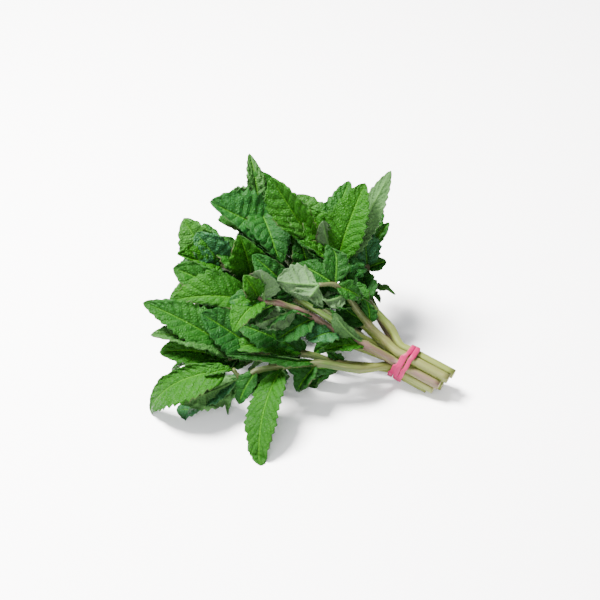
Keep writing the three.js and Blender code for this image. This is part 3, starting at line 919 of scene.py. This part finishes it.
@dataclass(frozen=True)
class BandFinish:
    """Pink elastic: satin, a little powdery, lighter in soft clouds and towards each strand's edges."""

    pink: Colour = (0.17, 0.0005, 0.034)
    light: Colour = (0.26, 0.002, 0.066)
    roughness: float = 0.42
    relief_m: float = 0.00008
    specular: float = 0.2

    def material(self, name: str) -> bpy.types.Material:
        """Makes the band material.

        Args:
            name: the material's name.

        Returns:
            The material.
        """
        make = Finish(name)
        place = make.place()
        grain = make.noise(place, 900.0, 3.0)
        cloud = make.noise(place, 160.0, 2.0)
        edge = abs(make.attribute(Mark.ACROSS)).ramp(0.55, 1.0)
        pale = (cloud.ramp(0.35, 0.7) * 0.5 + edge * 0.4).clamped()
        colour = make.blend(pale, self.pink, self.light)
        relief = make.bump(grain, self.relief_m)
        roughness = self.roughness + grain * 0.2
        return make.finish(colour, roughness, relief, Specular_IOR_Level=self.specular)


@dataclass(frozen=True)
class TableFinish:
    """The plain pale surface under the bunch."""

    white: Colour = (0.92, 0.92, 0.93)
    grey: Colour = (0.9, 0.9, 0.92)
    roughness: float = 0.6

    def material(self, name: str) -> bpy.types.Material:
        """Makes the table material.

        Args:
            name: the material's name.

        Returns:
            The material.
        """
        make = Finish(name)
        tone = make.noise(make.place(), 3.0, 1.0)
        return make.finish(make.blend(tone * 0.1, self.white, self.grey), self.roughness)


class Form:
    """A mesh in the making: vertices that carry marks, which become one object at the origin."""

    def __init__(self) -> None:
        """Starts with no vertices and one layer for each mark."""
        self.mesh = bmesh.new()
        self.place = self.mesh.verts.layers.int.new("place")
        self.marks = {mark: self.mesh.verts.layers.float.new(mark.value) for mark in Mark}

    def mark(self, vert: bmesh.types.BMVert, values: dict[Mark, float]) -> None:
        """Gives a vertex its marks."""
        for mark, value in values.items():
            vert[self.marks[mark]] = float(value)

    def into_object(self, name: str, material: bpy.types.Material) -> bpy.types.Object:
        """Makes the object.

        Args:
            name: the piece's name.
            material: its finish.

        Returns:
            The object, at the origin and smooth.
        """
        bmesh.ops.recalc_face_normals(self.mesh, faces=self.mesh.faces)
        for face in self.mesh.faces:
            face.smooth = True
        shift = Vector(-FOOTPRINT_CENTRE)
        for vert in self.mesh.verts:
            vert.co = (vert.co + shift) * MM
        self.mesh.verts.layers.int.remove(self.place)
        data = bpy.data.meshes.new(name)
        self.mesh.to_mesh(data)
        self.mesh.free()
        data.materials.append(material)
        made = bpy.data.objects.new(name, data)
        bpy.context.scene.collection.objects.link(made)
        return made


@dataclass
class Blade:
    """One leaf: a toothed, quilted sheet with a rib beneath, shaped from a flat grid."""

    plan: Leaf
    base: Numbers
    wedge: Wedge
    phase: float
    seed: float
    columns: int
    petiole_share: float = 0.06
    petiole_half: float = 0.9
    tip_half: float = 0.15
    outline_lean: float = 0.75
    outline_fill: float = 0.65
    ripple: float = 0.9
    ripple_waves: float = 2.5
    fine_ripple: float = 0.45
    fine_ripple_waves: float = 2.3
    tooth_pitch: float = 4.2
    tooth_depth: float = 0.17
    rows_per_tooth: int = 4
    skin: float = 0.2
    lowest_teeth: tuple[float, float] = (0.1, 0.2)
    highest_teeth: tuple[float, float] = (0.93, 1.0)
    curls_from: tuple[float, float] = (0.55, 1.3)
    crowding: float = 1.2
    rib_depth: float = 0.75
    rib_half: float = 0.75
    rib_thins: float = 0.85
    quilt: float = 0.6
    blister: float = 0.4
    vein_depth: float = 0.55
    groove_half: float = 0.7
    rib_groove_half: float = 0.9
    flat_by_rib: tuple[float, float] = (0.3, 2.2)
    flat_by_margin: tuple[float, float] = (0.75, 1.0)
    curl: float = 0.05
    unevenness: float = 0.35

    def __post_init__(self) -> None:
        """Works out the leaf's own directions."""
        self.chord = placed(self.plan.tip) - self.base
        self.length = float(np.linalg.norm(self.chord))
        forward = self.chord / self.length
        upper = facing(self.plan.face)
        self.upper = unit(upper - forward * (upper @ forward))
        self.side = np.cross(forward, self.upper)
        self.teeth = max(4, round(self.length / self.tooth_pitch))
        self.rows = self.teeth * self.rows_per_tooth

    def outline(self, along: Numbers) -> Numbers:
        """The share of the half width at a share of the length."""
        blade = np.clip((along - self.petiole_share) / (1 - self.petiole_share), 0, 1)
        return np.sin(np.pi * blade**self.outline_lean) ** self.outline_fill

    def saw(self, along: Numbers) -> Numbers:
        """Shapes the margin's teeth, which lean towards the tip.

        Args:
            along: shares of the length.

        Returns:
            0 in a notch and 1 at a point.
        """
        step = (along * self.teeth) % 1.0
        peak = (self.rows_per_tooth - 1) / self.rows_per_tooth
        teeth = np.where(step < peak, step / peak, (1 - step) / (1 - peak))
        fade = smooth_step(*self.lowest_teeth, along) * (1 - smooth_step(*self.highest_teeth, along))
        number = np.floor(along * self.teeth)
        fade = fade * (1 - self.unevenness * (0.5 + 0.5 * np.sin(number * 2.4 + self.phase)))
        return 1 - (1 - teeth) * fade

    def half(self, along: Numbers, across: Numbers) -> Numbers:
        """Finds the half width, notched towards the margin.

        Args:
            along: shares of the length.
            across: shares of the half width, from -1 to 1.

        Returns:
            The half widths in millimetres.
        """
        notch = 1 - self.tooth_depth * (1 - self.saw(along)) * np.abs(across) ** 4
        least = np.where(along < 0.5, self.petiole_half, self.tip_half)
        return np.maximum(self.plan.wide / 2 * self.outline(along) * notch, least)

    def sheet(self, along: Numbers, across: Numbers) -> Numbers:
        """The blade's middle sheet, before its relief.

        Args:
            along: shares of the length.
            across: shares of the half width, from -1 to 1.

        Returns:
            Rows of x, y, z.
        """
        half = self.half(along, across)
        wave = np.sin(2 * np.pi * self.ripple_waves * along + self.phase * across)
        fine = 2 * np.pi * self.ripple_waves * self.fine_ripple_waves * along
        wave += self.fine_ripple * np.sin(fine + 2.1 * self.phase + across)
        folded = half * np.abs(across) * math.tan(math.radians(self.plan.fold))
        hump = 4 * along * (1 - along)
        raised = self.plan.arch * self.length * hump + folded
        raised = raised + self.ripple * wave * across**2 * self.outline(along)
        bend = self.curl * math.sin(3.1 * self.phase) * self.length
        raised = raised + bend * smooth_step(*self.curls_from, along) * 2
        points = (
            self.base
            + np.outer(along, self.chord)
            + np.outer(half * across, self.side)
            + np.outer(raised, self.upper)
        )
        return self.wedge.blade_points(points, along)

    def relief(self, along: Numbers, across: Numbers) -> Numbers:
        """How far the blade is quilted up between its veins and drawn down along them.

        Args:
            along: shares of the length.
            across: shares of the half width, from -1 to 1.

        Returns:
            A height for each, in millimetres.
        """
        aside = np.abs(across)
        half = self.half(along, across)
        hand = np.where(across > 0, VEINS.hand_offset, 0.0)
        turn = (along - VEINS.lean * aside) * self.length / VEINS.pitch
        turn = turn + self.seed * VEINS.turn_per_seed
        wander = along * VEINS.wander_along + across * VEINS.wander_across
        wander = np.sin(wander + self.seed * VEINS.wander_per_seed)
        turn = turn + hand + wander * VEINS.wander
        near = np.abs(turn - np.round(turn)) * VEINS.pitch
        from_rib = aside * half
        room = smooth_step(*self.flat_by_rib, from_rib) * (1 - smooth_step(*self.flat_by_margin, aside))
        pillow = np.sin(np.pi * np.clip(near / (VEINS.pitch / 2), 0, 1) / 2) ** 2
        groove = np.exp(-((near / self.groove_half) ** 2)) * room
        rib = np.exp(-((from_rib / self.rib_groove_half) ** 2)) * (1 - along) ** 0.5
        swell = self.blister * self.blisters(along * self.length, across * half) * room
        return self.quilt * pillow * room + swell - self.vein_depth * (groove * 0.5 + rib)

    def blisters(self, along_mm: Numbers, across_mm: Numbers) -> Numbers:
        """Shapes the puckering between the finer veins.

        Args:
            along_mm: distances from the leaf's base.
            across_mm: distances from its rib.

        Returns:
            Heights from -1 to 1.
        """
        first = np.sin(along_mm * 1.75 + 1.6 * np.sin(across_mm * 0.8 + self.phase))
        second = np.sin(across_mm * 1.9 + 1.4 * np.sin(along_mm * 0.7 + 2 * self.phase))
        return first * second

    def grow(self, form: Form) -> None:
        """Adds the leaf to a mesh.

        Args:
            form: the mesh that it joins.
        """
        grid = bmesh.ops.create_grid(form.mesh, x_segments=self.rows, y_segments=self.columns, size=1.0)
        verts = grid["verts"]
        flat = np.array([vert.co[:2] for vert in verts])
        for index, vert in enumerate(verts):
            vert[form.place] = index
        rows = np.rint((flat[:, 0] + 1) / 2 * self.rows).astype(int)
        columns = np.rint((flat[:, 1] + 1) / 2 * self.columns).astype(int)
        along = rows / self.rows
        across = np.sign(flat[:, 1]) * np.abs(flat[:, 1]) ** self.crowding

        middle = self.sheet(along, across)
        lattice = np.zeros((self.rows + 1, self.columns + 1, 3))
        lattice[rows, columns] = middle
        steps = np.gradient(lattice, axis=0), np.gradient(lattice, axis=1)
        normals = unit(np.cross(steps[0], steps[1]))[rows, columns]
        normals *= np.sign((normals @ self.upper).sum())

        height = self.relief(along, across)
        from_rib = np.abs(across) * self.half(along, across)
        rib = self.rib_depth * np.exp(-((from_rib / self.rib_half) ** 2)) * (1 - self.rib_thins * along)
        top = middle + normals * (height + self.skin)[:, None]
        bottom = middle + normals * (height - self.skin - rib)[:, None]
        for sheet in (top, bottom):
            sheet[:, 2] = np.maximum(sheet[:, 2], LEAST_HEIGHT)

        faces = list({face for vert in verts for face in vert.link_faces})
        shell = bmesh.ops.extrude_face_region(form.mesh, geom=faces, use_keep_orig=True)
        lower = [item for item in shell["geom"] if isinstance(item, bmesh.types.BMVert)]
        fresh, teal, limp = self.plan.tone.value
        reach = self.half(along, np.zeros_like(along))
        for group, sheet, under in ((verts, top, 0.0), (lower, bottom, 1.0)):
            for vert in group:
                i = vert[form.place]
                vert.co = sheet[i]
                form.mark(vert, {
                    Mark.ALONG: along[i], Mark.ACROSS: across[i], Mark.LENGTH: self.length,
                    Mark.REACH: reach[i], Mark.UNDER: under, Mark.FRESH: fresh,
                    Mark.TEAL: teal, Mark.LIMP: limp, Mark.SEED: self.seed,
                })


@dataclass
class Stem:
    """One stem: a spun rod, a little squared, with a ring at each joint, bent along its line."""

    plan: Sprig
    seed: float
    flushed: float
    sides: int = 20
    steps_per_stretch: int = 7
    corner: float = 0.075
    ring_swell: float = 0.16
    ring_reach: float = 2.4
    cut_hollow: float = 0.5
    cut_rings: tuple[tuple[float, float], ...] = ((0.0, -0.002), (0.6, -0.002), (0.9, -0.001))

    def grow(self, form: Form) -> None:
        """Makes the stem in an empty mesh.

        Args:
            form: the mesh.
        """
        line = StemLine.of(self.plan)
        count = line.stretches * self.steps_per_stretch
        shares = [i / count for i in range(count + 1)]
        profile = [*self.cut_rings, *((1.0, share) for share in shares), (0.0, 1.0)]
        verts = [form.mesh.verts.new((reach, 0.0, share)) for reach, share in profile]
        edges = [form.mesh.edges.new(pair) for pair in zip(verts, verts[1:])]
        bmesh.ops.spin(
            form.mesh, geom=verts + edges, cent=(0, 0, 0), axis=(0, 0, 1),
            angle=2 * math.pi, steps=self.sides, use_merge=True,
        )
        bmesh.ops.remove_doubles(form.mesh, verts=form.mesh.verts[:], dist=1e-5)
        samples = {share: line.at(share) for share in shares}
        lengths = dict(zip(shares, np.concatenate([[0], np.cumsum([
            np.linalg.norm(samples[b] - samples[a]) for a, b in zip(shares, shares[1:])
        ])])))
        first_joint = len(line.points) - len(self.plan.joints)
        joint_runs = [
            lengths[min(shares, key=lambda s, j=j: abs(s - j / line.stretches))]
            for j in range(first_joint, len(line.points))
        ]
        for vert in form.mesh.verts:
            x, y, z = vert.co
            share = min(shares, key=lambda s, z=z: abs(s - max(z, 0.0)))
            reach, angle = math.hypot(x, y), math.atan2(y, x)
            tangent = line.tangent(share)
            side = unit(np.cross(tangent, UPWARD))
            top = np.cross(side, tangent)
            run = lengths[share]
            ring = max(math.exp(-(((run - j) / self.ring_reach) ** 2)) for j in joint_runs)
            radius = STEM_BASE_RADIUS + (STEM_TIP_RADIUS - STEM_BASE_RADIUS) * share**STEM_TAPER
            squared = 1 - self.corner * math.cos(4 * angle)
            wide = reach * radius * squared * (1 + self.ring_swell * ring)
            centre = samples[share]
            is_cut = z < 0
            if is_cut:
                centre = centre + tangent * self.cut_hollow * (1 - reach)
            point = centre + (side * math.cos(angle) + top * math.sin(angle)) * wide
            point[2] = max(point[2], LEAST_HEIGHT)
            vert.co = point
            form.mark(vert, {
                Mark.ALONG: share, Mark.ACROSS: angle / math.pi, Mark.LENGTH: run,
                Mark.REACH: reach, Mark.UNDER: 1.0 if is_cut else 0.0,
                Mark.TEAL: self.flushed, Mark.LIMP: ring, Mark.SEED: self.seed,
            })


@dataclass(frozen=True)
class Turn:
    """One turn of the band: its middle along the stems, how far it leans and which way."""

    middle: float
    lean: float
    lean_towards: float


@dataclass
class Band:
    """The rubber band: turns of flat strand wound round the bundle's outline."""

    turns: tuple[Turn, ...] = (Turn(-1.6, 2.9, 70), Turn(0.4, 0.9, 40), Turn(2.4, 1.7, 100))
    wide: float = 2.9
    thick: float = 0.95
    gap: float = 0.3
    samples: int = 96
    section: int = 16
    ring: float = 10.0
    lift: float = 0.12
    crease: float = 0.12
    fine_crease: float = 0.08
    waist: float = 0.1

    def grow(self, form: Form) -> None:
        """Adds every turn to a mesh.

        Args:
            form: the mesh that they join.
        """
        for number, turn in enumerate(self.turns):
            self.wind(form, turn, self.lift * number)

    def wind(self, form: Form, turn: Turn, lift: float) -> None:
        """Adds one turn: a rounded strip's section, spun into a ring and laid round the bundle.

        Args:
            form: the mesh that it joins.
            turn: where it lies.
            lift: how far it lies out on the turns beneath it.
        """
        before = set(form.mesh.verts)
        circle = bmesh.ops.create_circle(form.mesh, segments=self.section, radius=1.0)["verts"]
        for vert in circle:
            x, y = vert.co.x, vert.co.y
            squarer = (abs(x) ** 4 + abs(y) ** 4) ** 0.25
            vert.co = (self.ring + x / squarer * self.thick / 2, 0, y / squarer * self.wide / 2)
        edges = list({edge for vert in circle for edge in vert.link_edges})
        bmesh.ops.spin(
            form.mesh, geom=circle + edges, cent=(0, 0, 0), axis=(0, 0, 1),
            angle=2 * math.pi, steps=self.samples, use_merge=True,
        )
        stems = [in_bundle(sprig.slot, 0) for sprig in SPRIGS]
        for vert in set(form.mesh.verts) - before:
            x, y, z = vert.co
            angle = math.atan2(y, x)
            outward = TIE_SIDE * math.cos(angle) + TIE_TOP * math.sin(angle)
            foot = max(stems, key=lambda stem: float(stem @ outward))
            shift = turn.middle + turn.lean * math.cos(angle - math.radians(turn.lean_towards))
            crease = self.crease * math.sin(5 * angle + turn.lean_towards)
            crease += self.fine_crease * math.sin(11 * angle)
            out = STEM_BASE_RADIUS + self.gap + self.thick / 2 + lift
            out += math.hypot(x, y) - self.ring
            out += crease * z / self.wide
            narrow = 1 - self.waist * (1 + math.sin(3 * angle + turn.lean_towards))
            vert.co = foot + TIE_AXIS * (z * narrow - shift) + outward * out
            form.mark(vert, {Mark.ACROSS: z / (self.wide / 2), Mark.ALONG: angle / math.pi})


@dataclass(frozen=True)
class Lamp:
    """A square soft light that faces the bunch: its place and side in metres, power and colour."""

    name: str
    place: Place
    size: float
    watts: float
    colour: Colour


@dataclass(frozen=True)
class Studio:
    """The table, the soft lights and the camera at the photograph's angle."""

    lamps: tuple[Lamp, ...] = (
        Lamp("key", (-0.4, 0.16, 0.92), 0.36, 112.0, (1.0, 0.98, 0.95)),
        Lamp("front", (-0.3, -1.2, 0.7), 0.8, 26.0, (1.0, 1.0, 1.0)),
    )
    far: float = 1100.0
    lens: float = 118.0
    aim: tuple[float, float, float] = (-58.24, 34.72, 0.0)
    table: float = 6.0
    lit: Place = (0.0, 0.0, 0.03)
    room: Colour = (0.94, 0.94, 1.0)
    room_strength: float = 0.8

    def build(self) -> None:
        """Makes the table, the lights and the camera."""
        mesh = bmesh.new()
        bmesh.ops.create_grid(mesh, x_segments=1, y_segments=1, size=self.table / 2)
        data = bpy.data.meshes.new("table")
        mesh.to_mesh(data)
        mesh.free()
        data.materials.append(TableFinish().material("table_white"))
        table = bpy.data.objects.new("table", data)
        bpy.context.scene.collection.objects.link(table)

        world = bpy.data.worlds.new("soft_room")
        bpy.context.scene.world = world
        world.use_nodes = True
        room = world.node_tree.nodes["Background"]
        room.inputs["Color"].default_value = (*self.room, 1.0)
        room.inputs["Strength"].default_value = self.room_strength
        for lamp in self.lamps:
            self.light(lamp)
        self.camera()

    def light(self, lamp: Lamp) -> None:
        """Adds a light.

        Args:
            lamp: what it is like.
        """
        data = bpy.data.lights.new(lamp.name, "AREA")
        data.size = lamp.size
        data.energy = lamp.watts
        data.color = lamp.colour
        made = bpy.data.objects.new(lamp.name, data)
        made.location = lamp.place
        ray = Vector(self.lit) - Vector(lamp.place)
        made.rotation_euler = ray.to_track_quat("-Z", "Y").to_euler()
        bpy.context.scene.collection.objects.link(made)

    def camera(self) -> None:
        """Adds the camera, which looks down at the table as the side view does."""
        data = bpy.data.cameras.new("camera")
        data.lens = self.lens
        data.sensor_width = 36.0
        data.clip_start = 0.01
        camera = bpy.data.objects.new("camera", data)
        aim = placed(self.aim) - FOOTPRINT_CENTRE
        camera.location = Vector(aim - AWAY * self.far) * MM
        camera.rotation_euler = Vector(AWAY).to_track_quat("-Z", "Y").to_euler()
        bpy.context.scene.collection.objects.link(camera)
        bpy.context.scene.camera = camera


@dataclass(frozen=True)
class InnerLeaves:
    """The lesser leaves that fill a sprig behind its main ones, a pair or more at each joint."""

    pairs: dict[str, int] = field(default_factory=lambda: {
        "sprig_right_back": 1, "sprig_drooping": 2,
        "sprig_front_low": 1, "sprig_upper_right": 3, "sprig_front_middle": 1,
    })
    from_first_joint: frozenset[str] = frozenset(
        {"sprig_low_left", "sprig_left", "sprig_upper_left", "sprig_top", "sprig_back_low"}
    )
    most_pairs: int = 3
    reach: tuple[float, float] = (16.0, 30.0)
    slender: tuple[float, float] = (0.52, 0.68)
    spread: float = 1.0
    behind: tuple[float, float] = (0.15, 0.9)
    turn_between_pairs: float = 1.9
    forward: float = 0.75
    faces: tuple[tuple[float, float], ...] = ((-0.3, 0.3), (0.3, 0.8), (0.4, 1.0))
    # The lesser leaves are mostly given the painted-shade tone: they are coloured dark for the shade
    # that falls deep in the bunch.
    tones: tuple[Tone, ...] = (Tone.PAINTED_SHADE, Tone.PAINTED_SHADE, Tone.DEEP)
    arch: float = 0.12
    fold: tuple[float, float] = (8.0, 26.0)
    first_seed: int = 20

    def plans(self, sprig: Sprig, number: int) -> list[tuple[Place, Leaf]]:
        """Plans the lesser leaves of a sprig.

        Args:
            sprig: the sprig.
            number: its place in the list, which seeds the draws.

        Returns:
            Each leaf with the place of the joint that it grows from.
        """
        draw = np.random.default_rng(self.first_seed + number)
        heading = unit(vector(*sprig.heading))
        across = unit(np.cross(heading, UPWARD))
        found = []
        first = 0 if sprig.name in self.from_first_joint else 1
        for joint in sprig.joints[first:-1]:
            for pair in range(self.pairs.get(sprig.name, self.most_pairs)):
                turn = draw.uniform(-self.spread, self.spread)
                turn += (pair % 2 - 0.5) * self.turn_between_pairs
                length = draw.uniform(*self.reach)
                way = heading * self.forward + across * math.sin(turn)
                way = unit(way + UPWARD * draw.uniform(*self.behind))
                tip = np.array(joint.place) + way * length
                face = tuple(draw.uniform(*span) for span in self.faces)
                tone = self.tones[int(draw.integers(len(self.tones)))]
                wide = length * draw.uniform(*self.slender)
                fold = draw.uniform(*self.fold)
                found.append((joint.place, Leaf(tuple(tip), wide, face, tone, self.arch, fold)))
        return found


@dataclass
class Bunch:
    """The whole tied bunch: a leafy piece and a stem piece for each sprig, and the band."""

    phase_step: float = 1.7
    seed_per_leaf: float = 0.37
    seed_per_sprig: float = 0.613
    columns: int = 20
    inner_columns: int = 12
    least_flush: float = 0.3
    flushes: dict[str, float] = field(default_factory=lambda: {
        "sprig_front_middle": 1.0, "sprig_right_back": 0.95, "sprig_front_low": 0.2,
    })

    def build(self) -> list[bpy.types.Object]:
        """Makes every piece.

        Returns:
            The pieces.
        """
        leaf, stem = LeafFinish().material("mint_leaf"), StemFinish().material("mint_stem")
        pieces = []
        for number, sprig in enumerate(SPRIGS):
            pieces.append(self.settled(self.leaves(sprig, number, leaf), sprig.name))
            pieces.append(self.settled(self.stem(sprig, number, stem), sprig.name))
        form = Form()
        Band().grow(form)
        band = form.into_object("band.strands", BandFinish().material("pink_elastic"))
        pieces.append(self.settled(band, "rubber_band"))
        return pieces

    def settled(self, piece: bpy.types.Object, node: str) -> bpy.types.Object:
        """Makes a piece ride on the bunch in place of a CAD node, and logs it.

        Args:
            piece: the piece.
            node: the CAD node that it takes the place of, which is hidden.

        Returns:
            The piece.
        """
        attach(piece, BODY)
        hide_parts(node)
        LOG.info("%s: %d faces", piece.name, len(piece.data.polygons))
        return piece

    def leaves(self, sprig: Sprig, number: int, finish: bpy.types.Material) -> bpy.types.Object:
        """Makes a sprig's leaves as one piece.

        Args:
            sprig: the sprig.
            number: its place in the list, which seeds its leaves.
            finish: the leaf material.

        Returns:
            The piece.
        """
        wedge = Wedge(sprig)
        form = Form()
        main = [(joint.place, leaf, self.columns) for joint in sprig.joints for leaf in joint.leaves]
        inner = [(*found, self.inner_columns) for found in InnerLeaves().plans(sprig, number)]
        for count, (place, leaf, columns) in enumerate(main + inner, start=1):
            seed = (self.seed_per_leaf * count + self.seed_per_sprig * number) % 1.0
            base = wedge.joint_point(place)
            Blade(leaf, base, wedge, self.phase_step * count, seed, columns).grow(form)
        return form.into_object(sprig.name + ".leaves", finish)

    def stem(self, sprig: Sprig, number: int, finish: bpy.types.Material) -> bpy.types.Object:
        """Makes a sprig's stem.

        Args:
            sprig: the sprig.
            number: its place in the list, which seeds its colour.
            finish: the stem material.

        Returns:
            The piece.
        """
        form = Form()
        flushed = self.flushes.get(sprig.name, self.least_flush)
        Stem(sprig, number / len(SPRIGS), flushed).grow(form)
        return form.into_object(sprig.name + ".stem", finish)


def main() -> None:
    logging.basicConfig(level=logging.INFO, format="%(name)s %(message)s")
    Studio().build()
    Bunch().build()
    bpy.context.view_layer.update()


if __name__ == "__main__":
    main()
